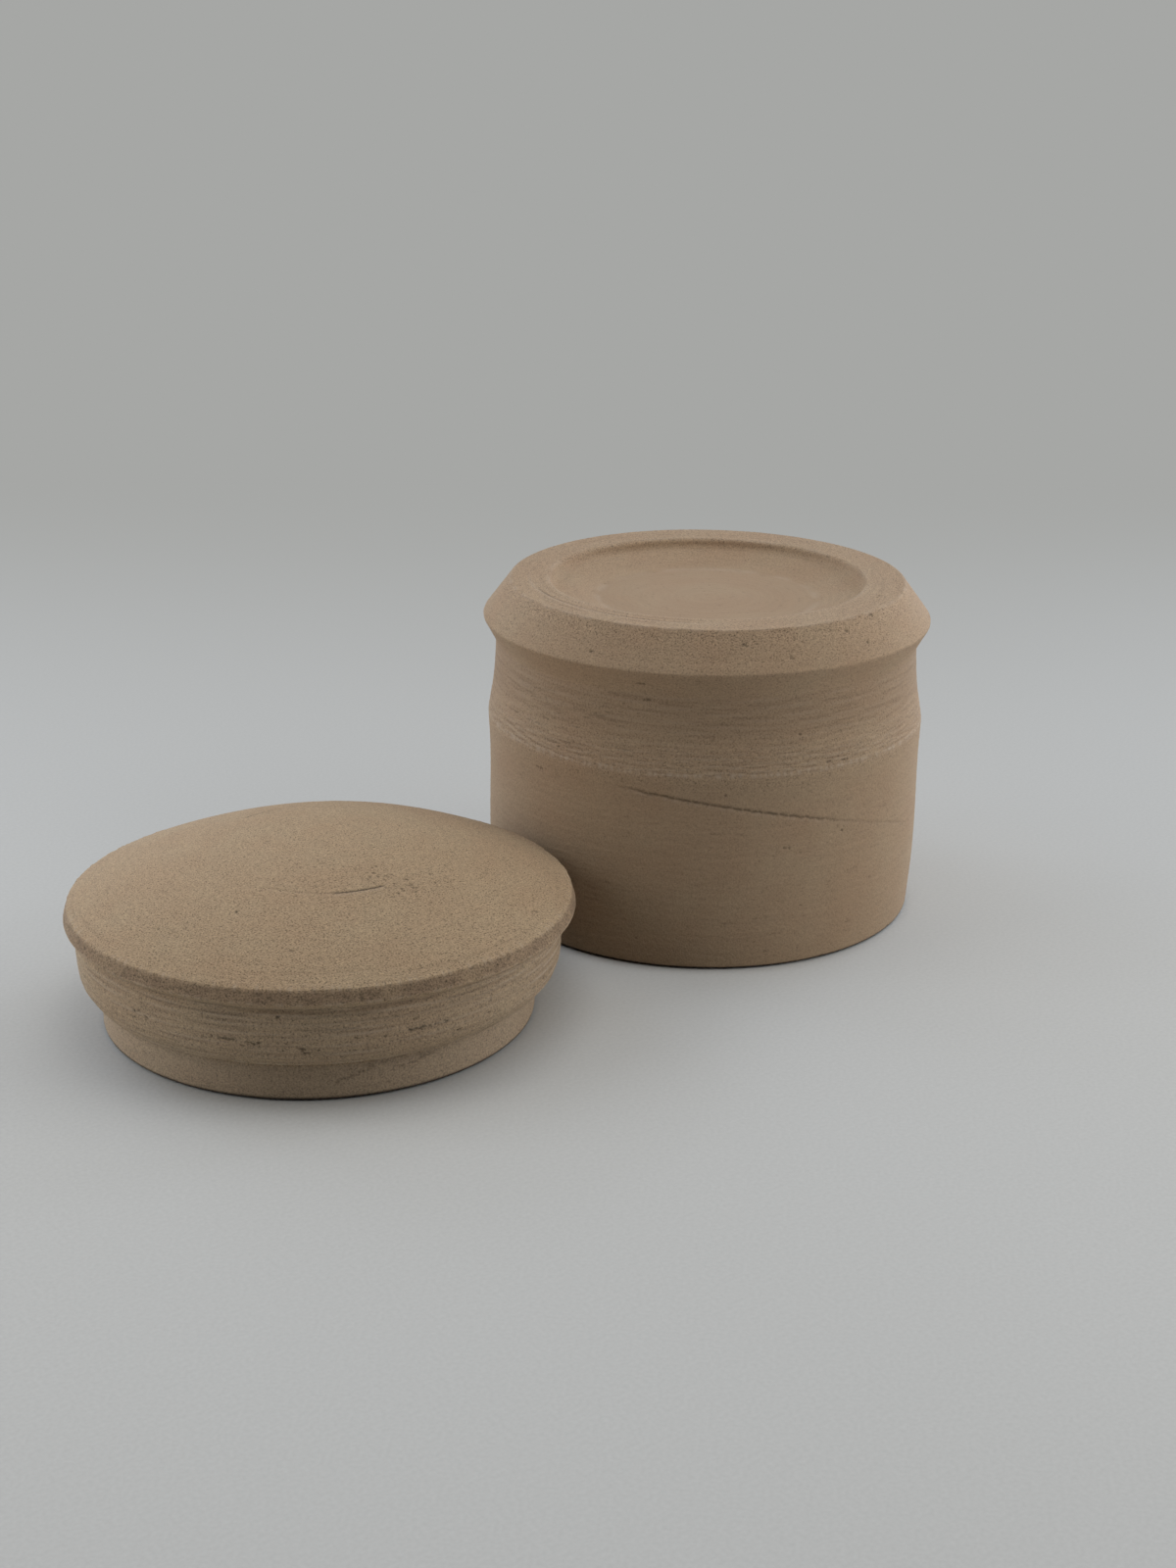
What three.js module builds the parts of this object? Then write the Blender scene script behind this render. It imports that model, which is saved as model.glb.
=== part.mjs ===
// A lidded stoneware box, turned on a wheel and left unglazed, with its lid taken off.
// The body stands upside down on its mouth, so its turned foot is on top.
// The domed lid stands beside it, right way up, on the plug that fits the body's mouth.
// Millimetres, +Z up. The origin is on the standing surface, midway along the two pieces.
import * as THREE from "three";

// Body, outside: radii are stepped from the plain wall, and heights near the foot are measured from it
const bodyHeight = 74.8;
const wallRadius = 48.95;
const wallWaist = 0.3;
const bellyHeight = 15;
const waistBelowRidge = 8.5;
const mouthDraw = 1.15;
const rimRounding = 0.7;
const ridgeRise = 0.15;
const ridgeBelowFoot = 30.9;
const taperHeight = 8.4;
const taperDraw = 1.45;
const neckDraw = 1.75;
const neckBelowFoot = 14.8;
const coveRise = 1.9;
const collarOverhang = 1.05;
const collarBelowFoot = 8.2;
const collarLand = 0.4;

// Foot: a chamfer up to a flat ring, then a shallow recess that falls to a flat disc
const chamferWidth = 5.95;
const footRounding = 0.5;
const footRingWidth = 9.05;
const recessStep = 2.0;
const recessLean = 0.4;
const recessDepth = 4.7;
const recessSlopeWidth = 10.1;
const lipRounding = 0.7;

// Body, inside
const mouthLip = 2.7;
const seatClearance = 1.9;
const seatSlope = 3;
const wallThickness = 4.6;
const innerCorner = 9;
const baseThickness = 6.5;

// Lid: the plug enters the mouth, the band lies nearly in line with the wall, and the thick flange overhangs it
const lidClearance = 0.7;
const plugHeight = 8.6;
const plugRounding = 0.8;
const plugWall = 5;
const stepRise = 0.3;
const bandProud = 0.5;
const bandHeight = 12.4;
const bandEdgeDraw = 2.5;
const bandFillet = 0.6;
const bandFilletRise = 2.6;
const bandCrownDraw = 0.1;
const bandCrownRise = 6;
const crownBelowGroove = 2.4;
const grooveDraw = 0.2;
const grooveRise = 1.2;
const flangeOverhang = 2.55;
const flangeUnderside = 0.5;
const flangeFace = 2.7;
const flangeLean = 0.9;
const flangeRounding = 0.2;
const domeRise = 12;
const domeFullness = 2.1;
const lidThickness = 6;
const hollowCorner = 5;

// The lid stands this far from the body's collar
const standGap = 2.35;

// Fineness of the turned surfaces
const turnSteps = 64;
const curveSteps = 4;
const hollowSteps = 8;
const domeSteps = 12;

// Sizes that follow from the ones above
const mouthRadius = wallRadius - mouthDraw;
const ridgeRadius = wallRadius + ridgeRise;
const taperRadius = wallRadius - taperDraw + ridgeRise;
const neckRadius = wallRadius - neckDraw;
const collarRadius = wallRadius + collarOverhang;
const footRadius = collarRadius - chamferWidth;
const recessRadius = footRadius - footRingWidth;
const discRadius = recessRadius - recessLean - recessSlopeWidth;
const ridgeHeight = bodyHeight - ridgeBelowFoot;
const neckHeight = bodyHeight - neckBelowFoot;
const collarHeight = bodyHeight - collarBelowFoot;
const mouthBore = mouthRadius - mouthLip;
const seatDepth = plugHeight + seatClearance;
const innerRadius = wallRadius - wallThickness;
const innerFloor = bodyHeight - recessDepth - baseThickness;
const plugRadius = mouthBore - lidClearance;
const bandRadius = wallRadius + bandProud;
const flangeRadius = bandRadius + flangeOverhang;
const domeRadius = flangeRadius - flangeLean - flangeRounding;
const hollowRadius = plugRadius - plugWall;
const bandTop = plugHeight + bandHeight;
const flangeBottom = bandTop + grooveRise;
const flangeWidest = flangeBottom + flangeUnderside;
const flangeTop = flangeWidest + flangeFace;
const domeFoot = flangeTop + flangeRounding;

// Both pieces' axes cross the X axis, and their footprints together are centred on the origin
const axisDistance = collarRadius + standGap + flangeRadius;
const bodyX = (axisDistance + flangeRadius - collarRadius) / 2;
const lidX = bodyX - axisDistance;

// Height of the dome above its foot at a distance from the lid's axis: flat on top, steeper to its edge.
function domeHeight(distance) {
  return domeRise * (1 - (distance / domeRadius) ** domeFullness);
}

// Points along the dome, or along the same curve set lower, from one distance to another.
function domePoints(footHeight, from, to, count) {
  const points = [];
  for (let i = 0; i <= count; i += 1) {
    const distance = THREE.MathUtils.lerp(from, to, i / count);
    points.push(new THREE.Vector2(distance, footHeight + domeHeight(distance)));
  }
  return points;
}

// The body's outline from the middle of its inside, round the rim and up the outside to the foot's centre.
function bodyOutline() {
  const path = new THREE.Path();
  path.moveTo(0, innerFloor);
  path.lineTo(innerRadius - innerCorner, innerFloor);
  path.quadraticCurveTo(innerRadius, innerFloor, innerRadius, innerFloor - innerCorner);
  path.lineTo(innerRadius, seatDepth + seatSlope);
  path.lineTo(mouthBore, seatDepth);
  path.lineTo(mouthBore, rimRounding);
  path.quadraticCurveTo(mouthBore, 0, mouthBore + rimRounding, 0);
  path.lineTo(mouthRadius - rimRounding, 0);
  path.quadraticCurveTo(mouthRadius, 0, mouthRadius, rimRounding);
  path.splineThru([
    new THREE.Vector2(wallRadius, bellyHeight),
    new THREE.Vector2(wallRadius - wallWaist, ridgeHeight - waistBelowRidge),
    new THREE.Vector2(ridgeRadius, ridgeHeight),
  ]);
  path.lineTo(taperRadius, ridgeHeight + taperHeight);
  path.lineTo(neckRadius, neckHeight);
  const collarBottom = collarHeight - collarLand / 2;
  const collarTop = collarHeight + collarLand / 2;
  path.quadraticCurveTo(neckRadius, neckHeight + coveRise, collarRadius, collarBottom);
  path.lineTo(collarRadius, collarTop);
  const chamferSlope = chamferWidth / (bodyHeight - collarTop);
  path.lineTo(footRadius + footRounding * chamferSlope, bodyHeight - footRounding);
  path.quadraticCurveTo(footRadius, bodyHeight, footRadius - footRounding, bodyHeight);
  path.lineTo(recessRadius + lipRounding, bodyHeight);
  path.quadraticCurveTo(recessRadius, bodyHeight, recessRadius, bodyHeight - lipRounding);
  path.lineTo(recessRadius - recessLean, bodyHeight - recessStep);
  path.lineTo(discRadius, bodyHeight - recessDepth);
  path.lineTo(0, bodyHeight - recessDepth);
  return path.getPoints(curveSteps);
}

// The lid's outline from the middle of its hollow, round the plug and up the outside to the dome's top.
function lidOutline() {
  const hollowFoot = domeFoot - lidThickness;
  const hollowFlat = hollowRadius - hollowCorner;
  const hollowEdge = hollowFoot + domeHeight(hollowFlat);
  const path = new THREE.Path();
  path.moveTo(hollowFlat, hollowEdge);
  path.quadraticCurveTo(hollowRadius, hollowEdge, hollowRadius, hollowEdge - hollowCorner);
  path.lineTo(hollowRadius, plugRounding);
  path.quadraticCurveTo(hollowRadius, 0, hollowRadius + plugRounding, 0);
  path.lineTo(plugRadius - plugRounding, 0);
  path.quadraticCurveTo(plugRadius, 0, plugRadius, plugRounding);
  path.lineTo(plugRadius, plugHeight);
  path.lineTo(bandRadius - bandEdgeDraw, plugHeight + stepRise);
  path.splineThru([
    new THREE.Vector2(bandRadius - bandFillet, plugHeight + bandFilletRise),
    new THREE.Vector2(bandRadius - bandCrownDraw, plugHeight + bandCrownRise),
    new THREE.Vector2(bandRadius, bandTop - crownBelowGroove),
    new THREE.Vector2(bandRadius - grooveDraw, bandTop),
  ]);
  path.lineTo(flangeRadius - flangeUnderside, flangeBottom);
  path.lineTo(flangeRadius, flangeWidest);
  path.lineTo(flangeRadius - flangeLean, flangeTop);
  const hollowTop = domePoints(hollowFoot, 0, hollowFlat, hollowSteps).slice(0, -1);
  const dome = domePoints(domeFoot, domeRadius, 0, domeSteps);
  return [...hollowTop, ...path.getPoints(curveSteps), ...dome];
}

// Unglazed, vitrified stoneware: dry, sandy and warm buff brown.
function stoneware(colour) {
  return new THREE.MeshStandardMaterial({ color: colour, roughness: 0.9, metalness: 0 });
}

// A solid turned about a vertical axis at x from an outline of radius and height.
function turnedPiece(name, outline, x, material) {
  const geometry = new THREE.LatheGeometry(outline, turnSteps);
  geometry.rotateX(Math.PI / 2);
  const piece = new THREE.Mesh(geometry, material);
  piece.name = name;
  piece.position.x = x;
  return piece;
}

const box = new THREE.Group();
box.add(turnedPiece("box_body", bodyOutline(), bodyX, stoneware("#9a8770")));
box.add(turnedPiece("lid", lidOutline(), lidX, stoneware("#91806a")));

export default box;
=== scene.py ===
"""A lidded stoneware box, taken apart: the upturned body and the domed lid beside it."""
import math
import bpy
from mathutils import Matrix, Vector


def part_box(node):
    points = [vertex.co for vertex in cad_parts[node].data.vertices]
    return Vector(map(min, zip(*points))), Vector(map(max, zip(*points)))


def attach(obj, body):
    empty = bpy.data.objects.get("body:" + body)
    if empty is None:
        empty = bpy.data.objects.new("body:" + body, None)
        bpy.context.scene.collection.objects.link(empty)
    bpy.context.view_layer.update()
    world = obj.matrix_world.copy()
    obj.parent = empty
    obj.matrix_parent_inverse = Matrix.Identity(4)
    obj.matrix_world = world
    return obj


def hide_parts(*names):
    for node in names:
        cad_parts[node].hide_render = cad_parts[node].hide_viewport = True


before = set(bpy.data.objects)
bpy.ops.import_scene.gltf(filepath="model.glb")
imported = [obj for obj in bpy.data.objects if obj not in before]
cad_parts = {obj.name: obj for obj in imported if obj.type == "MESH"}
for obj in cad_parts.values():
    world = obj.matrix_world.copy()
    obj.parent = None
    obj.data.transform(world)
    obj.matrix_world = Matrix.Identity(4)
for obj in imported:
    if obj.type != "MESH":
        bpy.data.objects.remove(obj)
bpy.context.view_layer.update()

from types import SimpleNamespace

import bpy
import numpy as np
from mathutils import Quaternion, Vector


# Box body
# Wheel-thrown stoneware, trimmed with a turning tool when leather hard and fired without glaze.
# It stands upside down on its mouth, so the trimmed foot ring and its shallow recess are on top.
# Sizes are in millimetres, and a bearing is in degrees to the right of the photographed side.

MM = 0.001
COLUMNS = 960
FINE_STEP = 0.28
COARSE_STEP = 1.2
CORNER_POINTS = 13
CRISP_TURN = math.radians(18)
DENT_FALL = 2


def turned_outline(corners, step):
    """Radius and height at even steps along a profile of (radius, height, rounding) corners."""
    most_share = 0.5
    corners = np.array(corners, float)
    points = [corners[0, :2]]
    for before, corner, after in zip(corners, corners[1:], corners[2:]):
        back = before[:2] - corner[:2]
        onward = after[:2] - corner[:2]
        start = corner[:2] + back * min(corner[2] / np.linalg.norm(back), most_share)
        end = corner[:2] + onward * min(corner[2] / np.linalg.norm(onward), most_share)
        for t in np.linspace(0, 1, CORNER_POINTS):
            points.append((1 - t) ** 2 * start + 2 * t * (1 - t) * corner[:2] + t ** 2 * end)
    points = np.array(points + [corners[-1, :2]])
    travel = np.append(0, np.cumsum(np.linalg.norm(np.diff(points, axis=0), axis=1)))
    even = np.linspace(0, travel[-1], round(travel[-1] / step) + 1)
    return np.stack([np.interp(even, travel, points[:, k]) for k in (0, 1)], 1)


def new_surface(inside, outside, photo_side):
    """A turned piece from the middle of its inside, round its rim, to the middle of its top, still bare."""
    hidden = turned_outline(inside, COARSE_STEP)[:-1]
    outline = np.concatenate([hidden, turned_outline(outside, FINE_STEP)])
    angle = np.arange(COLUMNS) * 2 * np.pi / COLUMNS
    shape = (len(outline), COLUMNS)
    return SimpleNamespace(
        outline=outline,
        along=np.append(0, np.cumsum(np.linalg.norm(np.diff(outline, axis=0), axis=1))),
        rim=len(hidden),
        angle=angle,
        photo_side=photo_side,
        bearing=(np.degrees(angle) - photo_side + 180) % 360 - 180,
        relief=np.zeros(shape),
        dent=np.zeros(shape),
        painted_shade=np.zeros(shape),
        pale=np.zeros(shape),
        sand=np.ones(shape),
        stain_and_shade=np.zeros(shape),
        shift=np.zeros(len(outline)),
        squeeze=np.zeros(len(outline)),
    )


def up_side(surface, height):
    """Distance along the outline to a height on the outside."""
    rows = slice(surface.rim, int(np.argmax(surface.outline[:, 1])) + 1)
    return np.interp(height, surface.outline[rows, 1], surface.along[rows])


def in_top(surface, radius):
    """Distance along the outline to a radius on the top."""
    rows = slice(int(np.argmax(surface.outline[:, 0])), None)
    return np.interp(-np.asarray(radius), -surface.outline[rows, 0], surface.along[rows])


def smooth(low, high, value):
    """0 below low, 1 above high, with a soft passage between."""
    t = np.clip((value - low) / (high - low), 0, 1)
    return t * t * (3 - 2 * t)


def between(rise, fall, value):
    """1 from the end of a soft rise to the start of a soft fall, and 0 outside them."""
    return smooth(*rise, value) * (1 - smooth(*fall, value))


def ripple(random, surface, turns):
    """Random values of about unit size round a piece, from waves of these turns to a round."""
    count = 60
    around = random.integers(turns[0], turns[1] + 1, count)
    phase = random.uniform(0, 2 * np.pi, count)
    return np.cos(np.outer(around, surface.angle) + phase[:, None]).sum(0) * math.sqrt(2 / count)


def patchy(random, surface, turns, low, high):
    """Presence round a piece that comes where its ripple passes low and is full where it passes high."""
    return smooth(low, high, ripple(random, surface, turns))


def waves(random, surface, lengths, turns, count):
    """Random values of about unit size, from waves of these lengths up a piece and turns to a round."""
    crowded, roomy = 0.6 * lengths[0], 1.2 * lengths[0]
    pace = 2 * np.pi / random.uniform(*lengths, count)
    around = random.integers(turns[0], turns[1] + 1, count)
    phase = random.uniform(0, 2 * np.pi, count)
    lean = random.choice((-1, 1), count)
    spacing = 2 * np.pi * surface.outline[:, :1] / np.maximum(around, 1)
    kept = smooth(crowded, roomy, spacing)
    rows = kept * np.exp(1j * (np.outer(surface.along, pace) + phase))
    columns = np.exp(1j * np.outer(around * lean, surface.angle))
    return (rows @ columns).real * math.sqrt(2 / count)


def line_at(surface, place, width):
    """A soft line round a piece, at a place along its outline."""
    return np.exp(-((surface.along[:, None] - place) / width) ** 2)


def press(surface, random, place, bearing, length, width, depth, dark):
    """Presses a ragged hollow: dents in a row of this length round the piece, at a place along its outline,
    darkened with painted shade.
    """
    wander, sizes, reach = 0.3, (0.6, 1.1), 2
    radius = max(np.interp(place, surface.along, surface.outline[:, 0]), width)
    for _ in range(1 + round(length / width)):
        centre = place + random.uniform(-wander, wander) * width
        turn = bearing + math.degrees(random.uniform(-0.5, 0.5) * length / radius)
        size = width * random.uniform(*sizes)
        rows = np.flatnonzero(np.abs(surface.along - centre) < reach * size)
        across = np.radians((surface.bearing - turn + 180) % 360 - 180) * radius
        columns = np.flatnonzero(np.abs(across) < reach * size)
        apart = (surface.along[rows, None] - centre) ** 2 + across[None, columns] ** 2
        dent = np.exp(-DENT_FALL * apart / size ** 2)
        patch = np.ix_(rows, columns)
        surface.dent[patch] = np.maximum(surface.dent[patch], depth * dent)
        # The darkness in the dent is painted shade in the hollow
        surface.painted_shade[patch] = np.maximum(surface.painted_shade[patch], dark * dent)


def score(surface, place, width, depth, dark, presence):
    """Scores a line round a piece, at a place along its outline for each bearing, where it has presence."""
    line = np.exp(-DENT_FALL * ((surface.along[:, None] - place) / width) ** 2) * presence
    surface.dent = np.maximum(surface.dent, depth * line)
    # The darkness along the line is painted shade in the scored hollow
    surface.painted_shade = np.maximum(surface.painted_shade, dark * line)


def scatter(surface, random, count, widths, stretch, depth, darks):
    """Scatters pits evenly over the outside, where grit was pulled out or dragged along by the tool."""
    mostly_small = 3
    rows = np.arange(surface.rim, len(surface.along))
    share = surface.outline[rows, 0] / surface.outline[rows, 0].sum()
    for row in random.choice(rows, count, p=share):
        width = widths[0] + (widths[1] - widths[0]) * random.random() ** mostly_small
        length = width * random.uniform(*stretch)
        dark = random.uniform(*darks)
        bearing = random.uniform(-180, 180)
        press(surface, random, surface.along[row], bearing, length, width, depth * dark, dark)


def grain(surface, random):
    """Slow unevenness from throwing, fine turning lines, sandy grain and pulled-out grit."""
    for rise, lengths, turns, count in (
        (0.05, (30, 90), (1, 3), 12),
        (0.008, (0.8, 4), (0, 2), 200),
        (0.010, (0.7, 2), (4, 40), 400),
        (0.012, (0.8, 2), (60, 360), 900),
    ):
        surface.relief += rise * waves(random, surface, lengths, turns, count)
    scatter(surface, random, count=4000, widths=(0.24, 0.4), stretch=(0.2, 2), depth=0.15, darks=(0.04, 0.28))
    scatter(surface, random, count=120, widths=(0.26, 0.45), stretch=(0.5, 3), depth=0.25, darks=(0.2, 0.5))
    scatter(surface, random, count=300, widths=(0.24, 0.3), stretch=(4, 14), depth=0.1, darks=(0.08, 0.32))


def turned_piece(name, surface, axis_x):
    """Turns a surface's outline about its axis, raised by its relief, into a closed mesh."""
    outline, along = surface.outline, surface.along
    tangent = np.gradient(outline, along, axis=0)
    tangent /= np.linalg.norm(tangent, axis=1)[:, None]
    raised = surface.relief - surface.dent
    radius = outline[:, :1] + raised * tangent[:, 1:]
    radius = radius * (1 - np.outer(surface.squeeze, np.cos(np.radians(surface.bearing)) ** 2))
    height = outline[:, 1:] - raised * tangent[:, :1]
    side = math.radians(surface.photo_side + 90)
    x = radius * np.cos(surface.angle) + surface.shift[:, None] * math.cos(side)
    y = radius * np.sin(surface.angle) + surface.shift[:, None] * math.sin(side)

    # Rings of points, with a fan of faces to the middle point at either end
    grid = np.stack([x, y, height], -1)
    points = np.concatenate([grid[[0, -1]].mean(1), grid[1:-1].reshape(-1, 3)])
    rings = len(outline) - 2
    row, column = np.meshgrid(np.arange(rings - 1), np.arange(COLUMNS), indexing="ij")
    first = 2 + row * COLUMNS
    after = (column + 1) % COLUMNS
    quads = np.stack([first + after, first + COLUMNS + after, first + COLUMNS + column, first + column], -1)
    turn = np.arange(COLUMNS)
    following = (turn + 1) % COLUMNS
    last = 2 + (rings - 1) * COLUMNS
    start_fan = np.stack([2 + following, 2 + turn, np.zeros_like(turn)], -1)
    end_fan = np.stack([last + turn, last + following, np.ones_like(turn)], -1)
    mesh = bpy.data.meshes.new(name)
    faces = quads.reshape(-1, 4).tolist() + start_fan.tolist() + end_fan.tolist()
    mesh.from_pydata((points * MM + [axis_x, 0, 0]).tolist(), [], faces)
    mesh.shade_smooth()

    # The shading stays crisp on the rings where the outline turns sharply
    steps = np.diff(outline, axis=0)
    heading = np.unwrap(np.arctan2(steps[:, 1], steps[:, 0]))
    crisp = np.flatnonzero(np.abs(np.diff(heading)) > CRISP_TURN) + 1
    ends = np.empty(len(mesh.edges) * 2, np.int32)
    mesh.edges.foreach_get("vertices", ends)
    ring = (ends.reshape(-1, 2) - 2) // COLUMNS + 1
    sharp = (ring[:, 0] == ring[:, 1]) & np.isin(ring[:, 0], crisp)
    mesh.attributes.new("sharp_edge", "BOOLEAN", "EDGE").data.foreach_set("value", sharp)

    # What the material reads: the way across and up the piece, and each kind of mark
    travel = np.concatenate([along[[0, -1]], np.repeat(along[1:-1], COLUMNS)])
    turned = np.column_stack([points[:, :2], travel]) * MM
    mesh.attributes.new("turned", "FLOAT_VECTOR", "POINT").data.foreach_set("vector", turned.ravel())
    for kind in ("painted_shade", "pale", "sand", "stain_and_shade"):
        mark = getattr(surface, kind)
        values = np.concatenate([mark[[0, -1], 0], mark[1:-1].ravel()])
        mesh.attributes.new(kind, "FLOAT", "POINT").data.foreach_set("value", values)

    # The surface unrolled, round the piece and along its outline
    share = along / along[-1]
    u = np.stack([column + 1, column + 1, column, column], -1) / COLUMNS
    v = np.stack([share[1 + row], share[2 + row], share[2 + row], share[1 + row]], -1)
    flat = np.stack([u, v], -1).reshape(-1, 2)
    fan = np.stack([turn + 1, turn, turn + 0.5], -1) / COLUMNS
    start = np.stack([fan, np.broadcast_to(share[[1, 1, 0]], fan.shape)], -1).reshape(-1, 2)
    fan = np.stack([turn, turn + 1, turn + 0.5], -1) / COLUMNS
    end = np.stack([fan, np.broadcast_to(share[[-2, -2, -1]], fan.shape)], -1).reshape(-1, 2)
    layer = mesh.uv_layers.new(name="OFBake")
    layer.uv.foreach_set("vector", np.concatenate([flat, start, end]).ravel())
    piece = bpy.data.objects.new(mesh.name, mesh)
    bpy.context.scene.collection.objects.link(piece)
    return piece


def linear(colour):
    """The linear values of an sRGB hex colour."""
    channels = [int(colour[k:k + 2], 16) / 255 for k in (1, 3, 5)]
    return [c / 12.92 if c <= 0.04045 else ((c + 0.055) / 1.055) ** 2.4 for c in channels] + [1]


def add_node(tree, kind, sockets, **settings):
    """Adds a shader node. A socket is given a value, or another node's output to link."""
    node = tree.nodes.new("ShaderNode" + kind)
    for name, value in settings.items():
        setattr(node, name, value)
    for name, value in sockets.items():
        if isinstance(value, bpy.types.NodeSocket):
            tree.links.new(value, node.inputs[name])
        else:
            node.inputs[name].default_value = value
    return node


def unglazed_stoneware(name, buff, russet, toast, straw, shade_brown):
    """Turned, grogged stoneware without glaze: dry and matte, with sandy grit and drawn-out streaks."""
    # The finest sand is about 0.2 mm across, and is drawn coarser so that it shows
    grit_size, grit_detail, grit_roughness = 0.36 * MM, 2, 0.6
    mottle_size, streak_size, streak_draw, soft_detail = 14 * MM, 0.8 * MM, 14, 3
    grit_contrast, speck_contrast, streak_contrast = 1.9, 0.3, 0.17
    speck_start, speck_full = 0.44, 0.3
    mottle_start, mottle_full, mottle_share = 0.35, 0.65, 0.5
    smoothest, roughest, specular_level = 0.84, 0.96, 0.4
    bump_strength, bump_height = 0.8, 0.08 * MM
    material = bpy.data.materials.new(name)
    material.use_nodes = True
    tree = material.node_tree
    tree.nodes.clear()

    # Slow mottling from buff to russet, toasted by real staining and by painted shade
    turned = add_node(tree, "Attribute", {}, attribute_name="turned").outputs["Vector"]
    painted_shade = add_node(tree, "Attribute", {}, attribute_name="painted_shade").outputs["Fac"]
    pale = add_node(tree, "Attribute", {}, attribute_name="pale").outputs["Fac"]
    sand = add_node(tree, "Attribute", {}, attribute_name="sand").outputs["Fac"]
    stain_and_shade = add_node(tree, "Attribute", {}, attribute_name="stain_and_shade").outputs["Fac"]
    mottling = {"Vector": turned, "Scale": 1 / mottle_size, "Detail": soft_detail}
    mottle = add_node(tree, "TexNoise", mottling).outputs[0]
    patches = {0: mottle, 1: mottle_start, 2: mottle_full, 3: 0.0, 4: mottle_share}
    patch = add_node(tree, "MapRange", patches).outputs[0]
    clays = {0: patch, 6: linear(buff), 7: linear(russet)}
    clay = add_node(tree, "Mix", clays, data_type="RGBA").outputs[2]
    darkened_clay = add_node(tree, "Mix", {0: stain_and_shade, 6: clay, 7: linear(toast)}, data_type="RGBA").outputs[2]

    # Streaks drawn out round the piece by the tool, and sandy grit with its darkest grains as specks
    round_scale = (1 / streak_draw, 1 / streak_draw, 1)
    drawn = add_node(tree, "VectorMath", {0: turned, 1: round_scale}, operation="MULTIPLY").outputs[0]
    streaking = {"Vector": drawn, "Scale": 1 / streak_size, "Detail": soft_detail}
    streak = add_node(tree, "TexNoise", streaking).outputs[0]
    grains = {"Vector": turned, "Scale": 1 / grit_size, "Detail": grit_detail, "Roughness": grit_roughness}
    grit = add_node(tree, "TexNoise", grains).outputs[0]
    dark_grains = {0: grit, 1: speck_start, 2: speck_full, 4: -speck_contrast}
    dark_grit = add_node(tree, "MapRange", dark_grains).outputs[0]
    speck_offset = add_node(tree, "Math", {0: dark_grit, 1: -grit_contrast / 2}).outputs[0]
    speckled = {0: grit, 1: grit_contrast, 2: speck_offset}
    specks = add_node(tree, "Math", speckled, operation="MULTIPLY_ADD").outputs[0]
    sanded = {0: specks, 1: sand, 2: 1 - streak_contrast / 2}
    sandy = add_node(tree, "Math", sanded, operation="MULTIPLY_ADD").outputs[0]
    toned = {0: streak, 1: streak_contrast, 2: sandy}
    tone = add_node(tree, "Math", toned, operation="MULTIPLY_ADD").outputs[0]
    grainy = add_node(tree, "HueSaturation", {"Color": darkened_clay, "Value": tone}).outputs[0]

    # Worn places and painted highlights are pale; pits, scored lines and standing edges are darkened with
    # painted shade
    worn = add_node(tree, "Mix", {0: pale, 6: grainy, 7: linear(straw)}, data_type="RGBA").outputs[2]
    shaded = add_node(tree, "Mix", {0: painted_shade, 6: worn, 7: linear(shade_brown)}, data_type="RGBA").outputs[2]
    raised = {"Strength": bump_strength, "Distance": bump_height, "Height": grit}
    bump = add_node(tree, "Bump", raised).outputs[0]
    rough = add_node(tree, "MapRange", {0: streak, 3: smoothest, 4: roughest}).outputs[0]
    shader = add_node(tree, "BsdfPrincipled", {
        "Base Color": shaded,
        "Roughness": rough,
        "Normal": bump,
        "Specular IOR Level": specular_level,
    })
    add_node(tree, "OutputMaterial", {"Surface": shader.outputs[0]})
    return material


body_low, body_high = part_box("box_body")
body_axis = (body_low.x + body_high.x) / 2
body_height = (body_high.z - body_low.z) / MM
collar_radius = (body_high.x - body_low.x) / 2 / MM
foot_radius, recess_radius, disc_radius = 44.05, 35.0, 24.5
inner_radius, inner_floor = 44.35, 63.6
mouth_bore, mouth_radius, seat_depth, seat_slope = 45.1, 47.8, 10.5, 3
edge_lift, edge_top, edge_draw, rim_draw = 0.3, 0.6, 0.2, 1.3
belly_radius, belly_height = 48.95, 15
waist_radius, waist_height = 48.65, 35.4
ridge_radius, ridge_height = 49.1, 43.9
taper_radius, taper_top = 47.65, 52.3
neck_radius, neck_height = 47.2, 60
cove_radius, cove_height = 47.3, 61.6
collar_height, half_land = 66.6, 0.2
recess_lean, recess_step, recess_depth = 0.4, 2, 4.7
recess_floor = body_height - recess_depth
rim_middle = (mouth_bore + mouth_radius) / 2

body_inside = [
    (0, inner_floor, 0),
    (inner_radius, inner_floor, 9),
    (inner_radius, seat_depth + seat_slope, 1.5),
    (mouth_bore, seat_depth, 1),
    (mouth_bore, 0, 0.7),
    (rim_middle, 0, 0),
]
body_outside = [
    (rim_middle, 0, 0),
    (mouth_radius - rim_draw, 0, 0.1),
    (mouth_radius - edge_draw, edge_lift, 0.15),
    (mouth_radius, edge_top, 0.2),
    (belly_radius, belly_height, 13),
    (waist_radius, waist_height, 8),
    (ridge_radius, ridge_height, 0.5),
    (taper_radius, taper_top, 4),
    (neck_radius, neck_height, 3),
    (cove_radius, cove_height, 2.6),
    (collar_radius, collar_height - half_land, 0.15),
    (collar_radius, collar_height + half_land, 0.15),
    (foot_radius, body_height, 0.3),
    (recess_radius, body_height, 1.1),
    (recess_radius - recess_lean, body_height - recess_step, 1.1),
    (disc_radius, recess_floor, 0.6),
    (0, recess_floor, 0),
]
body_photo_side, body_seed = -132.2, 7
body = new_surface(body_inside, body_outside, body_photo_side)
random = np.random.default_rng(body_seed)
grain(body, random)
body_reach, body_level = body.outline[:, :1], body.outline[:, 1:]
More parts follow.
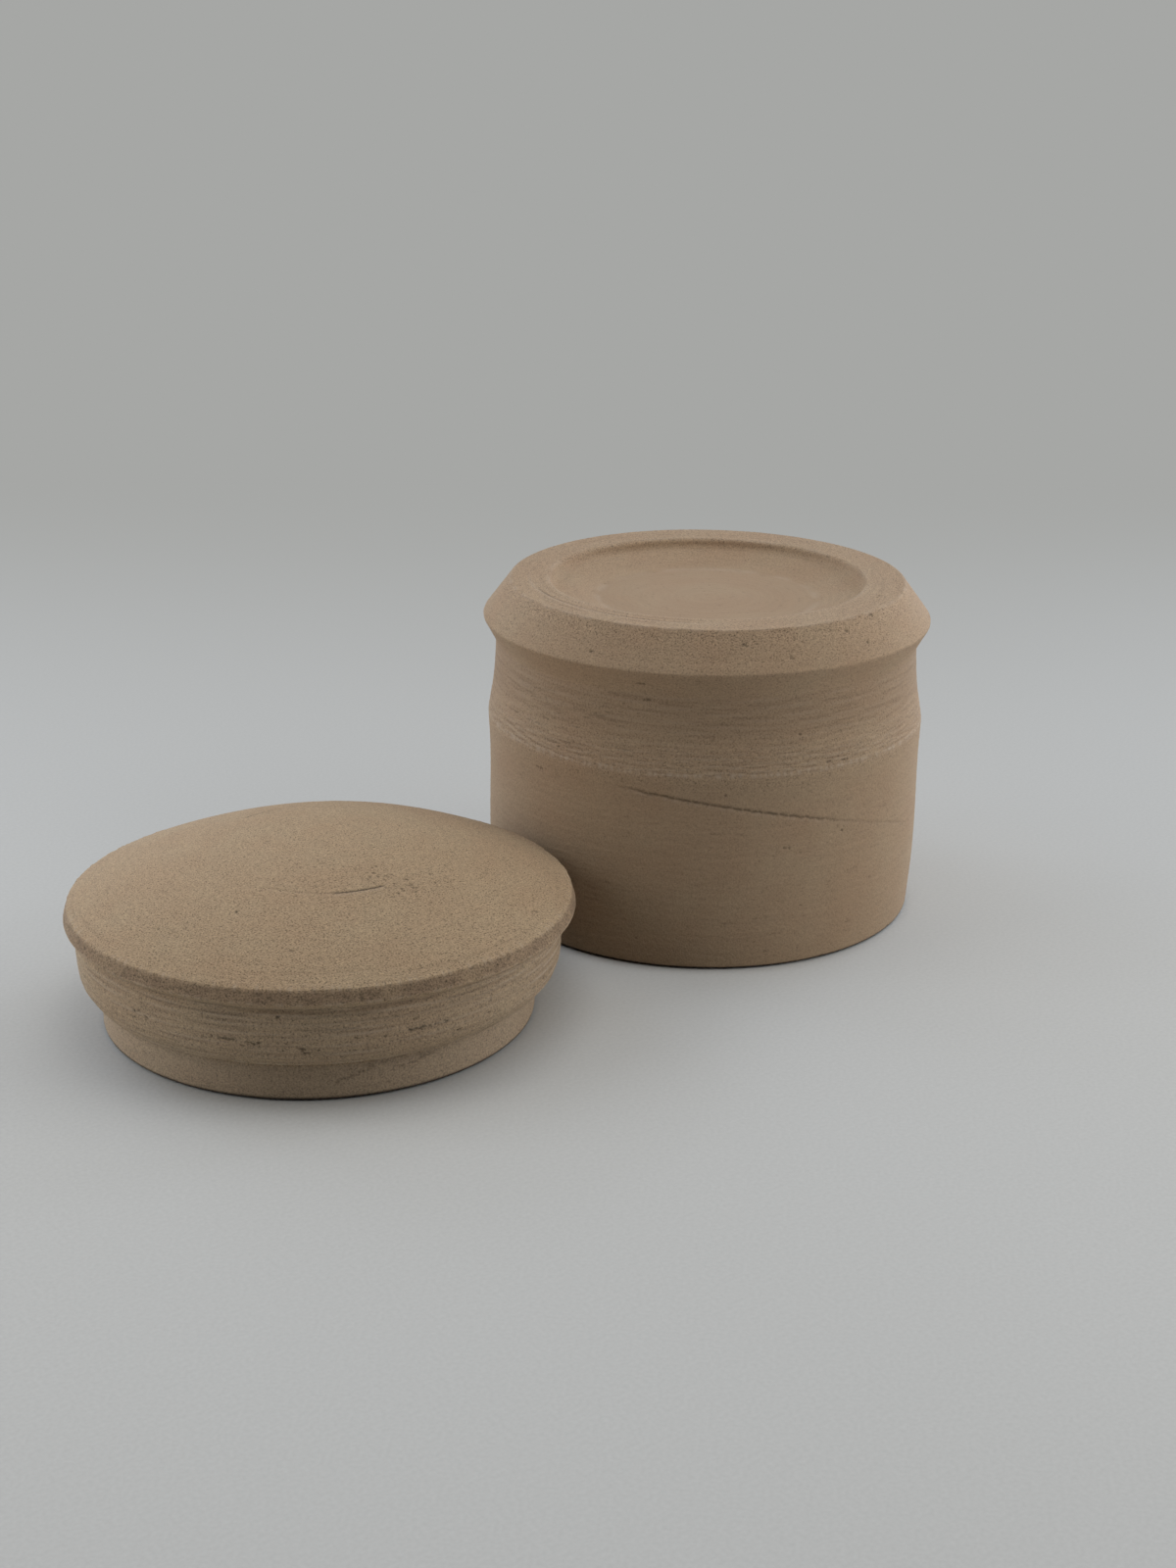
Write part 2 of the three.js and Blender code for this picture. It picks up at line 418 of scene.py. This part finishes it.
side_radius, ring_depth, lip_width = 46, 0.3, 0.5
on_outside = (np.arange(len(body_level)) > body.rim)[:, None]
on_side = on_outside & (body_reach > side_radius)
on_ring = on_outside & (body_level > body_height - ring_depth) & (body_reach > recess_radius - lip_width)

# The tool closed the lower wall and the disc, and left the edges and the torn stretch open and sandy
ring_sand = 0.9
side_sand = np.interp(body_level, [0, 40, 44, 50, 54, 66, 69], [0.34, 0.36, 0.68, 0.62, 0.42, 0.5, 0.68])
disc_sand = np.interp(body_reach, [22, 25, 30], [0.1, 0.3, 0.7])
body.sand *= np.where(body_reach > side_radius, side_sand, ring_sand)
body.sand *= np.where(on_outside & (body_reach < recess_radius), disc_sand, 1)

# The rim's outer edge where it stands is painted dark: painted shade along its contact with the paper
edge_width, edge_fade = 0.6, (0.5, 0.8)
contact_shade_edge = on_outside & (body_reach > mouth_radius - edge_width)
body.painted_shade = np.maximum(body.painted_shade, (1 - smooth(*edge_fade, body_level)) * contact_shade_edge)

# The disc's clay stayed a little darker, and the taper is a little darker too
disc_stain, taper_darkening = 0.12, 0.24
body.stain_and_shade += disc_stain * on_outside * (1 - smooth(24, 26, body_reach))
body.stain_and_shade += taper_darkening * between((50, 54), (60, 62), body_level) * on_side

# Rough streaks where the tool tore the clay above the ridge
torn_relief, torn_pale, torn_stain = 0.045, 0.3, 0.5
torn = between((43.6, 44.4), (46, 52), body_level) * on_side
streaks = waves(random, body, lengths=(0.5, 1.6), turns=(2, 44), count=500)
body.relief += torn_relief * torn * streaks
body.pale += torn_pale * torn * smooth(-0.2, 1.6, streaks)
body.stain_and_shade += torn_stain * torn * smooth(0, 1.6, -streaks)
crumb_pale, crumb_height, crumb_spread = 0.5, 44.5, 0.5
crumbs = patchy(random, body, turns=(20, 300), low=-0.6, high=1.2)
body.pale += crumb_pale * np.exp(-((body_level - crumb_height) / crumb_spread) ** 2) * on_side * crumbs

# Long faint streaks up the taper
streak_stain, streak_pale = 0.3, 0.12
taper = between((45, 49), (60, 63), body_level) * on_side
streaks = waves(random, body, lengths=(0.7, 3), turns=(2, 18), count=300)
body.stain_and_shade += streak_stain * taper * smooth(0.1, 1.8, -streaks)
body.pale += streak_pale * taper * smooth(0.3, 2, streaks)

# A drying crack that runs down to the right across the photographed side
crack_bearing = [-24, -13.6, -3.8, 5.9, 15.9, 32.2, 54, 69.7]
crack_height = [41.0, 40.0, 38.7, 37.7, 35.8, 33.2, 27.6, 23.8]
crack_line = np.polyfit(crack_bearing, crack_height, deg=3)
crack_start, crack_end = crack_bearing[0], crack_bearing[-1]
crack_wander, crack_width, crack_depth, crack_dark, crack_fade = 0.06, 0.4, 0.26, 0.58, 0.7
crack_path = up_side(body, np.polyval(crack_line, body.bearing))
crack_path = crack_path + crack_wander * ripple(random, body, turns=(40, 160))
crack_here = smooth(-25, -12, body.bearing) * (1 - crack_fade * smooth(22, 45, body.bearing))
crack_here = crack_here * (1 - smooth(60, 71, body.bearing)) * (body.bearing > crack_start - 1)
crack_presence = crack_here * patchy(random, body, turns=(60, 300), low=-1.6, high=0.2)
score(body, crack_path, crack_width, crack_depth, crack_dark, crack_presence)
crack_lip_pale, crack_lip_below, crack_lip_width = 0.25, 0.6, 0.3
crack_lip = line_at(body, crack_path - crack_lip_below, crack_lip_width)
body.pale += crack_lip_pale * crack_lip * crack_here * patchy(random, body, turns=(30, 200), low=-1, high=1)
chip_first, chip_apart, chip_length, chip_widths = crack_start + 2, 0.55, 0.4, (0.26, 0.4)
chip_dark, chip_shares, chip_depth = 0.76, (0.5, 1), 0.3
order = np.argsort(body.bearing)
for bearing in np.arange(chip_first, crack_end, chip_apart):
    place = np.interp(bearing, body.bearing[order], crack_path[order])
    dark = chip_dark * np.interp(bearing, body.bearing[order], crack_here[order])
    dark *= random.uniform(*chip_shares)
    width = random.uniform(*chip_widths)
    press(body, random, place, bearing, chip_length, width, chip_depth * dark, dark)

# Single pits on the photographed side, and grit dragged along the taper
for bearing, rise, length, width in (
    (-15.6, 63.6, 1.6, 0.3), (-14.4, 59.9, 1.6, 0.3), (-39.1, 46.5, 0.6, 0.4), (5.8, 40.2, 0.4, 0.36),
    (-29.6, 69.1, 0.6, 0.4), (51.6, 74.2, 1.4, 0.36), (46, 69.9, 0.8, 0.36), (25.1, 52.4, 0.5, 0.36),
    (39.9, 72.6, 1.0, 0.36), (9.6, 72.1, 1.8, 0.3), (33, 45.7, 1.6, 0.3), (38, 45.5, 1.6, 0.3),
    (-46, 40.4, 2.4, 0.26), (22, 27.5, 1.4, 0.3), (38, 29.3, 1.0, 0.3),
):
    press(body, random, up_side(body, rise), bearing, length, width, depth=0.2, dark=0.75)
drag_count, drag_rises, drag_bearings, drag_lengths = 80, (47, 58), (-60, -18), (1, 4)
drag_width, drag_depth, drag_darks = 0.24, 0.03, (0.1, 0.4)
for _ in range(drag_count):
    place = up_side(body, random.uniform(*drag_rises))
    bearing = random.uniform(*drag_bearings)
    length = random.uniform(*drag_lengths)
    press(body, random, place, bearing, length, drag_width, drag_depth, random.uniform(*drag_darks))

# Turning grooves on the foot ring, a paler lip between two of them, painted highlights along the ring's outer
# edge and the recess's lip, and a worn edge round the disc
faint_share = 0.3
front_left = between((-95, -75), (-8, 12), body.bearing)
groove_strength = faint_share + (1 - faint_share) * front_left
for groove_radius, width, depth, dark in (
    (41.2, 0.32, 0.08, 0.25), (39.2, 0.32, 0.12, 0.45), (37.4, 0.6, 0.06, 0.1),
):
    presence = patchy(random, body, turns=(2, 14), low=-1.2, high=0.9) * groove_strength
    score(body, in_top(body, groove_radius), width, depth, dark, presence * on_ring)
groove_lip_radius, groove_lip_width = 39.8, 0.3
edge_pale, lip_highlight_and_wear = 0.3, 0.25
groove_lip = line_at(body, in_top(body, groove_lip_radius), groove_lip_width)
body.pale += edge_pale * groove_lip * front_left * on_ring
press(body, random, in_top(body, radius=40), bearing=68.8, length=2, width=0.42, depth=0.2, dark=0.9)
# Painted highlight along the foot ring's outer edge
lit_foot_edge = line_at(body, in_top(body, foot_radius), width=0.4)
body.pale += edge_pale * lit_foot_edge * patchy(random, body, turns=(4, 60), low=-1.2, high=0.6)
# Painted highlight on the recess's lip, and wear on the disc's edge
recess_lip_out = 0.6
lit_recess_lip = line_at(body, in_top(body, recess_radius + recess_lip_out), width=0.5)
disc_edge = line_at(body, in_top(body, disc_radius), width=0.9)
lit_lip_and_worn_disc_edge = lit_recess_lip + disc_edge
body.pale += lip_highlight_and_wear * lit_lip_and_worn_disc_edge * patchy(random, body, turns=(1, 20), low=-1.2, high=0.6)

box_body = turned_piece("turned_body", body, body_axis)
body_colours = ("#a58e73", "#a1856a", "#86705a", "#b8a692", "#271e17")
box_body.data.materials.append(unglazed_stoneware("unglazed_stoneware_body", *body_colours))
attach(box_body, "box_body")
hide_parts("box_body")


# Lid
# A second thrown and trimmed piece of the same clay: a low dome with a crisp flange over a rounded band.
# It stands on the plain plug that drops into the box's mouth, and nothing else holds it there.

lid_low, lid_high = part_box("lid")
lid_axis = (lid_low.x + lid_high.x) / 2
lid_height = (lid_high.z - lid_low.z) / MM
flange_radius = (lid_high.x - lid_low.x) / 2 / MM
plug_radius, plug_height, plug_draw, hollow_radius = 44.4, 8.6, 2.4, 39.4
band_radius, groove_height = 49.45, 21.0
band_foot_in, band_foot_rise = 2.5, 0.3
shoulder_in, shoulder_rise = 0.5, 2.6
bulge_in, bulge_rise = 0.1, 6
groove_in, groove_fall = 0.2, 2.4
flange_bottom, flange_widest, flange_top = 22.2, 22.7, 25.4
flange_under, flange_lean = 0.5, 0.9
dome_radius, dome_foot, dome_fullness, dome_steps = 50.9, 25.6, 2.1, 16
dome_rise = lid_height - dome_foot
lid_thickness, hollow_flat, hollow_steps = 6, 34.4, 8
plug_middle = (plug_radius + hollow_radius) / 2


def dome(distance):
    """Height of the dome's top at a distance from its axis."""
    return dome_foot + dome_rise * (1 - (distance / dome_radius) ** dome_fullness)


lid_inside = [(r, dome(r) - lid_thickness, 3) for r in np.linspace(0, hollow_flat, hollow_steps)]
lid_inside += [
    (hollow_radius, dome(hollow_flat) - lid_thickness, 5),
    (hollow_radius, 0, 0.8),
    (plug_middle, 0, 0),
]
lid_outside = [
    (plug_middle, 0, 0),
    (plug_radius - plug_draw, 0, 0.1),
    (plug_radius - edge_draw, edge_lift, 0.15),
    (plug_radius, edge_top, 0.2),
    (plug_radius, plug_height, 0.25),
    (band_radius - band_foot_in, plug_height + band_foot_rise, 0.3),
    (band_radius - shoulder_in, plug_height + shoulder_rise, 1.6),
    (band_radius - bulge_in, plug_height + bulge_rise, 2.5),
    (band_radius, groove_height - groove_fall, 1.5),
    (band_radius - groove_in, groove_height, 0.6),
    (flange_radius - flange_under, flange_bottom, 0.5),
    (flange_radius, flange_widest, 0.5),
    (flange_radius - flange_lean, flange_top, 0.2),
]
dome_reach = dome_radius * np.sin(np.linspace(math.pi / 2, 0, dome_steps))
lid_outside += [(r, dome(r), 2) for r in dome_reach]
lid_photo_side, lid_seed = -122.3, 11
lid = new_surface(lid_inside, lid_outside, lid_photo_side)
random = np.random.default_rng(lid_seed)
lid_reach, lid_level = lid.outline[:, :1], lid.outline[:, 1:]
on_outside = (np.arange(len(lid_level)) > lid.rim)[:, None]

# The soft clay settled: plug, band and flange stand a little aside of each other, the flange out of round
most_squeeze = 0.029
lid.shift = np.interp(lid_level[:, 0], [0, 8.6, 10, 20, 22], [-0.59, -0.59, -0.13, -0.13, 0.34])
lid.squeeze = most_squeeze * smooth(20, 22.5, lid_level[:, 0])
grain(lid, random)

# The plug's outer edge where it stands is painted dark: painted shade along its contact with the paper
edge_fade = (0.6, 0.9)
contact_shade_edge = on_outside & (lid_reach > plug_radius - edge_width)
lid.painted_shade = np.maximum(lid.painted_shade, (1 - smooth(*edge_fade, lid_level)) * contact_shade_edge)

# The plug is sandy and a little paler, with painted shade in the corner under the band and a painted
# highlight along the band's lower edge
plug_pale, corner_shade, band_edge_highlight, band_edge_rise = 0.4, 0.8, 0.45, 0.6
lid_sand = np.interp(lid_level, [0, 8, 10, 20, 25], [1.2, 1.2, 1.0, 1.0, 0.9])
lid.sand *= np.where(on_outside, lid_sand, 1)
lid.pale += plug_pale * on_outside * (1 - smooth(7, 8, lid_level))
# Painted shade in the corner on the plug just under the band
lid.stain_and_shade += corner_shade * on_outside * between((7.3, 8.3), (8.7, 8.9), lid_level)
# Painted highlight along the band's lower edge
lit_band_edge = line_at(lid, up_side(lid, plug_height + band_edge_rise), width=0.4)
lid.pale += band_edge_highlight * lit_band_edge * patchy(random, lid, turns=(4, 90), low=-1.2, high=0.6)

# Torn streaks and scored lines round the band, paler at its right end
band_relief, band_pale, band_stain, streak_pale, right_pale = 0.045, 0.15, 0.5, 0.3, 0.3
on_band = on_outside * smooth(9, 10, lid_level) * (1 - smooth(21, 22, lid_level))
streaks = waves(random, lid, lengths=(0.6, 2.2), turns=(1, 14), count=400)
lid.relief += band_relief * on_band * streaks
lid.pale += band_pale * on_band
streak_share = streak_pale + right_pale * smooth(36, 52, lid.bearing)
lid.pale += on_band * smooth(0.2, 2.0, streaks) * streak_share
lid.stain_and_shade += band_stain * on_band * smooth(0.2, 2.0, -streaks)
line_wander, line_depth = 0.15, 0.08
for rise, width, dark in ((19.8, 0.3, 0.35), (18.5, 0.35, 0.2), (17.2, 0.3, 0.3), (12.2, 0.3, 0.2)):
    presence = patchy(random, lid, turns=(2, 20), low=-0.6, high=1)
    place = up_side(lid, rise) + line_wander * ripple(random, lid, turns=(1, 5))
    score(lid, place, width, line_depth, dark, presence)

# Dashes of torn-out grit on the band's photographed side, and small pits all round it
dash_apart, dash_wander, dash_darks = 0.6, 0.1, (0.7, 1)
dash_length, dash_width, dash_depth = 0.4, 0.32, 0.25
for bearing, rise, length in (
    (-46, 15.7, 0.6), (-42.8, 15.5, 0.6), (-23.6, 14.7, 7), (-15.4, 14.4, 2.4), (-10, 19.9, 0.8),
    (-5.4, 13.2, 2), (-3.4, 12.4, 2), (13.6, 14.8, 0.8), (20.5, 17.4, 0.8), (24.2, 15.2, 9),
    (31.6, 12.4, 0.8), (40, 9.2, 1),
):
    for _ in range(1 + round(length / dash_apart)):
        turn = bearing + math.degrees(random.uniform(-0.5, 0.5) * length / band_radius)
        dark = random.uniform(*dash_darks)
        place = up_side(lid, rise + random.normal(0, dash_wander))
        press(lid, random, place, turn, dash_length, dash_width, dash_depth * dark, dark)
pit_count, pit_rise, pit_spread, pit_darks = 160, 13.6, 1.0, (0.2, 0.7)
pit_lengths, pit_width, pit_depth = (0.1, 0.9), 0.28, 0.2
for _ in range(pit_count):
    place = up_side(lid, random.normal(pit_rise, pit_spread))
    dark = random.uniform(*pit_darks)
    bearing = random.uniform(-180, 180)
    press(lid, random, place, bearing, random.uniform(*pit_lengths), pit_width, pit_depth * dark, dark)

# The flange's face is dark, its upper edge crumbly and lighter and its lower edge lighter, with painted
# shadow in the groove under it
face_darkness, face_mottle = 0.7, 0.12
face = on_outside * smooth(22.6, 23.2, lid_level) * (1 - smooth(24.9, 25.5, lid_level))
lid.stain_and_shade = np.maximum(lid.stain_and_shade, face * (face_darkness + face_mottle * ripple(random, lid, turns=(4, 60))))
edge_relief, fine_share, upper_pale, lower_pale = 0.05, 0.8, 0.4, 0.35
upper_edge = line_at(lid, up_side(lid, dome_foot), width=0.7)
crumble = ripple(random, lid, turns=(8, 90)) + fine_share * ripple(random, lid, turns=(90, 300))
lid.relief += edge_relief * upper_edge * crumble
lid.pale += upper_pale * upper_edge * patchy(random, lid, turns=(60, 300), low=0.2, high=1.8)
# The groove under the flange is scored a little and darkened with painted shadow
groove_line_rise = 0.3
shadowed_groove_line = up_side(lid, groove_height + groove_line_rise)
presence = patchy(random, lid, turns=(4, 60), low=-1.6, high=0.4)
score(lid, shadowed_groove_line, width=0.4, depth=0.05, dark=0.45, presence=presence)
lower_edge = line_at(lid, up_side(lid, flange_widest), width=0.4)
lid.pale += lower_pale * lower_edge * patchy(random, lid, turns=(10, 200), low=-0.8, high=1.2)
pit_count, pit_rises, pit_darks = 260, (23.2, 25.4), (0.15, 0.6)
pit_lengths, pit_width, pit_depth = (0.2, 1.2), 0.3, 0.25
for _ in range(pit_count):
    place = up_side(lid, random.uniform(*pit_rises))
    dark = random.uniform(*pit_darks)
    bearing = random.uniform(-180, 180)
    press(lid, random, place, bearing, random.uniform(*pit_lengths), pit_width, pit_depth * dark, dark)

# A scratch on the dome's top that trails off to the left, another behind, and faint turning lines
scratch_radius = np.interp(lid.bearing, [4.8, 16, 28.4], [25.9, 25.8, 25.7])
scratch_here = between((2, 8), (27, 30), lid.bearing)
score(lid, in_top(lid, scratch_radius), width=0.3, depth=0.16, dark=1, presence=scratch_here)
scratch_lip_out, scratch_lip_width, scratch_lip_pale = 0.7, 0.3, 0.2
scratch_lip = line_at(lid, in_top(lid, scratch_radius + scratch_lip_out), scratch_lip_width)
lid.pale += scratch_lip_pale * scratch_lip * scratch_here
trail_radius = np.interp(lid.bearing, [-26, 5], [24.5, 26])
trail_here = between((-30, -24), (2, 8), lid.bearing)
score(lid, in_top(lid, trail_radius), width=0.3, depth=0.06, dark=0.25, presence=trail_here)
back_radius = np.interp(lid.bearing, [-163, -137], [25.3, 23.1])
back_here = between((-165, -160), (-140, -136), lid.bearing)
score(lid, in_top(lid, back_radius), width=0.36, depth=0.1, dark=0.6, presence=back_here)
for line_radius, dark in ((5, 0.05), (8.4, 0.1), (11, 0.05), (47.4, 0.08), (48.9, 0.16), (50.0, 0.12)):
    presence = patchy(random, lid, turns=(1, 9), low=-0.4, high=1.2)
    score(lid, in_top(lid, line_radius), width=0.4, depth=0.05, dark=dark, presence=presence)

# Clustered grit beside the scratch, and two single pits
grit_spread, grit_darks = 2, (0.3, 0.85)
grit_lengths, grit_width, grit_depth = (0.1, 0.6), 0.36, 0.2
for turn, distance, turn_spread, count in ((36, 28, 5, 22), (28, 21.5, 5, 18), (46, 28, 5, 8)):
    for _ in range(count):
        place = in_top(lid, random.normal(distance, grit_spread))
        dark = random.uniform(*grit_darks)
        bearing = random.normal(turn, turn_spread)
        press(lid, random, place, bearing, random.uniform(*grit_lengths), grit_width, grit_depth * dark, dark)
for distance, bearing, length in ((33, -30.4, 0.8), (41.9, -8.4, 0.6)):
    press(lid, random, in_top(lid, distance), bearing, length, width=0.42, depth=0.1, dark=0.9)

# Drag marks on the plug, below a torn stretch of the band's lower edge
drag_steps, drag_wander, drag_darks = 14, 0.8, (0.25, 0.6)
drag_length, drag_width, drag_depth = 1.2, 0.3, 0.12
for bearings, rises in (((2.8, 12.8), (3.7, 6.7)), ((21.2, 28.4), (5.4, 6.7))):
    for step in np.linspace(0, 1, drag_steps):
        place = up_side(lid, np.interp(step, (0, 1), rises))
        turn = np.interp(step, (0, 1), bearings) + random.normal(0, drag_wander)
        press(lid, random, place, turn, drag_length, drag_width, drag_depth, random.uniform(*drag_darks))
torn_edge = between((8, 13), (25, 31), lid.bearing)
presence = torn_edge * patchy(random, lid, turns=(30, 200), low=-1, high=0.8)
score(lid, up_side(lid, height=8.0), width=0.9, depth=0.2, dark=0.45, presence=presence)
presence = torn_edge * patchy(random, lid, turns=(20, 120), low=-0.4, high=1)
score(lid, up_side(lid, height=6.9), width=0.4, depth=0.1, dark=0.3, presence=presence)

box_lid = turned_piece("turned_lid", lid, lid_axis)
lid_colours = ("#a69073", "#a2876a", "#86705a", "#b8a692", "#271e17")
box_lid.data.materials.append(unglazed_stoneware("unglazed_stoneware_lid", *lid_colours))
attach(box_lid, "lid")
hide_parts("lid")


# Camera
# Where the photograph was taken from: half a metre away, a little above, and turned slightly.
# It is a plain camera with a lens of moderate length, with everything in focus.

camera_place = Vector((-290.7, -380.0, 207.8)) * MM
camera_lens = 54.07
view_azimuth, view_pitch, view_roll = math.radians(39.2), math.radians(19.637), math.radians(0.42)
ahead = Vector((math.sin(view_azimuth), math.cos(view_azimuth), 0))
aside = Vector((ahead.y, -ahead.x, 0))
above = Vector((0, 0, 1))
camera = bpy.data.objects.new("camera", bpy.data.cameras.new("camera"))
camera.data.lens = camera_lens
camera.location = camera_place
sight = ahead * math.cos(view_pitch) - above * math.sin(view_pitch)
camera.rotation_mode = "QUATERNION"
camera.rotation_quaternion = sight.to_track_quat("-Z", "Y") @ Quaternion((0, 0, 1), view_roll)
bpy.context.scene.collection.objects.link(camera)
bpy.context.scene.camera = camera


# Standing surface
# A plain sheet of pale matte paper that lies level under the pieces and runs far out on all sides.
# Behind the pieces it passes into the even grey of the backdrop, for what is seen directly.
# Sizes here and below are in metres.

sheet_reach, sheet_corners = 12, 64
sweep_start, sweep_end = -0.1, 0.47
round_start, round_end = 0.5, 0.95
paper_dark, paper_light, paper_seen, backdrop_grey = "#b4b4b1", "#c6c6c3", "#b6b6b4", "#a6a7a5"
seen_share, body_shade_width, lid_shade_width = 0.22, 3 * MM, 14 * MM
sheet_angles = np.linspace(0, 2 * math.pi, sheet_corners, False)
sheet_rim = [(sheet_reach * math.cos(a), sheet_reach * math.sin(a), 0) for a in sheet_angles]
sheet_mesh = bpy.data.meshes.new("paper_sheet")
sheet_mesh.from_pydata(sheet_rim, [], [range(sheet_corners)])
sheet = bpy.data.objects.new("paper_sheet", sheet_mesh)
bpy.context.scene.collection.objects.link(sheet)


def seen_directly(tree):
    """1 for rays from the camera, also by way of gloss or glass, and 0 for the light between surfaces."""
    path = add_node(tree, "LightPath", {})
    gloss = {0: path.outputs["Is Camera Ray"], 1: path.outputs["Is Glossy Ray"]}
    either = add_node(tree, "Math", gloss, operation="MAXIMUM")
    glass = {0: either.outputs[0], 1: path.outputs["Is Transmission Ray"]}
    return add_node(tree, "Math", glass, operation="MAXIMUM").outputs[0]


# Uncoated paper gives an even, matte grey, and its fibres are drawn coarser than real so that they show
fibre_size, fibre_detail = 0.8 * MM, 2
paper = bpy.data.materials.new("matte_paper")
paper.use_nodes = True
tree = paper.node_tree
tree.nodes.clear()
spot = add_node(tree, "NewGeometry", {}).outputs["Position"]
set_back = add_node(tree, "VectorMath", {0: spot, 1: ahead}, operation="DOT_PRODUCT").outputs["Value"]
outward = add_node(tree, "VectorMath", {0: spot}, operation="LENGTH").outputs["Value"]
sweep_back = {0: set_back, 1: sweep_start, 2: sweep_end}
sweep_back = add_node(tree, "MapRange", sweep_back, interpolation_type="SMOOTHSTEP").outputs[0]
sweep_round = {0: outward, 1: round_start, 2: round_end}
sweep_round = add_node(tree, "MapRange", sweep_round, interpolation_type="SMOOTHSTEP").outputs[0]
far = add_node(tree, "Math", {0: sweep_back, 1: sweep_round}, operation="MAXIMUM").outputs[0]
even_share = add_node(tree, "MapRange", {0: far, 3: seen_share, 4: 1.0}).outputs[0]
seen = add_node(tree, "Math", {0: even_share, 1: seen_directly(tree)}, operation="MULTIPLY").outputs[0]

# The even grey gives way close to each piece, so that the paper keeps its shadow
for axis_x, foot, shade_width in (
    (body_axis, mouth_radius, body_shade_width), (lid_axis, plug_radius, lid_shade_width),
):
    away = add_node(tree, "VectorMath", {0: spot, 1: (axis_x, 0, 0)}, operation="DISTANCE").outputs["Value"]
    clear = add_node(tree, "MapRange", {0: away, 1: foot * MM, 2: foot * MM + shade_width}).outputs[0]
    seen = add_node(tree, "Math", {0: seen, 1: clear}, operation="MULTIPLY").outputs[0]
fibres = {"Vector": spot, "Scale": 1 / fibre_size, "Detail": fibre_detail}
fibre = add_node(tree, "TexNoise", fibres).outputs[0]
paper_greys = {0: fibre, 6: linear(paper_dark), 7: linear(paper_light)}
paper_grey = add_node(tree, "Mix", paper_greys, data_type="RGBA").outputs[2]
matte = add_node(tree, "BsdfDiffuse", {"Color": paper_grey}).outputs[0]
sweep_greys = {0: far, 6: linear(paper_seen), 7: linear(backdrop_grey)}
sweep_grey = add_node(tree, "Mix", sweep_greys, data_type="RGBA").outputs[2]
even = add_node(tree, "Emission", {"Color": sweep_grey}).outputs[0]
mixed = add_node(tree, "MixShader", {0: seen, 1: matte, 2: even}).outputs[0]
add_node(tree, "OutputMaterial", {"Surface": mixed})
sheet_mesh.materials.append(paper)


# Studio light
# Small soft panels stand close at both sides and hang overhead, with a dim glow from the room behind.
# The camera's side stays dark, so the walls that face it are the dimmest.

panel_aim = Vector((0, 0, 0.04))
warm_white, plain_white, cool_white = "#fffbf6", "#ffffff", "#dceaff"
soft_panels = {
    "left_front": (-0.45, -0.1, 0.22, 0.35, 1.0, plain_white),
    "left_back": (-0.45, 0.4, 0.22, 0.35, 1.26, cool_white),
    "left_high": (-0.45, 0.15, 0.5, 0.4, 0.59, cool_white),
    "right_front": (0.45, -0.1, 0.22, 0.35, 0.97, plain_white),
    "right_back": (0.45, 0.4, 0.22, 0.35, 1.62, cool_white),
    "overhead": (0, 0, 0.7, 0.5, 0.65, warm_white),
}
for name, (to_right, to_back, up, side, power, colour) in soft_panels.items():
    lamp = bpy.data.lights.new("soft_panel_" + name, "AREA")
    lamp.shape = "SQUARE"
    lamp.size = side
    lamp.energy = power
    lamp.color = linear(colour)[:3]
    panel = bpy.data.objects.new(lamp.name, lamp)
    panel.location = aside * to_right + ahead * to_back + above * up
    panel.rotation_mode = "QUATERNION"
    panel.rotation_quaternion = (panel_aim - panel.location).to_track_quat("-Z", "Y")
    panel.visible_camera = False
    bpy.context.scene.collection.objects.link(panel)

glow_height, glow_turn = math.radians(50), math.radians(60)
back_glow = ahead * math.cos(glow_height) + above * math.sin(glow_height)
back_right = ahead * math.cos(glow_turn) + aside * math.sin(glow_turn)
right_glow = back_right * math.cos(glow_height) + above * math.sin(glow_height)
world = bpy.data.worlds.new("studio")
world.use_nodes = True
tree = world.node_tree
tree.nodes.clear()
direction = add_node(tree, "TexCoord", {}).outputs["Generated"]
glow = 0.0
for towards, focus, strength in ((above, 8, 0.4), (back_glow, 6, 0.43), (right_glow, 6, 1.0)):
    facing = add_node(tree, "VectorMath", {0: direction, 1: towards}, operation="DOT_PRODUCT")
    front = add_node(tree, "Math", {0: facing.outputs["Value"], 1: 0.0}, operation="MAXIMUM").outputs[0]
    lobe = add_node(tree, "Math", {0: front, 1: focus}, operation="POWER").outputs[0]
    glow = add_node(tree, "Math", {0: lobe, 1: strength, 2: glow}, operation="MULTIPLY_ADD").outputs[0]
room = add_node(tree, "Background", {"Color": linear(plain_white), "Strength": glow}).outputs[0]
backdrop = add_node(tree, "Background", {"Color": linear(backdrop_grey)}).outputs[0]
mixed = add_node(tree, "MixShader", {0: seen_directly(tree), 1: room, 2: backdrop}).outputs[0]
add_node(tree, "OutputWorld", {"Surface": mixed})
bpy.context.scene.world = world
bpy.context.scene.view_settings.view_transform = "Standard"
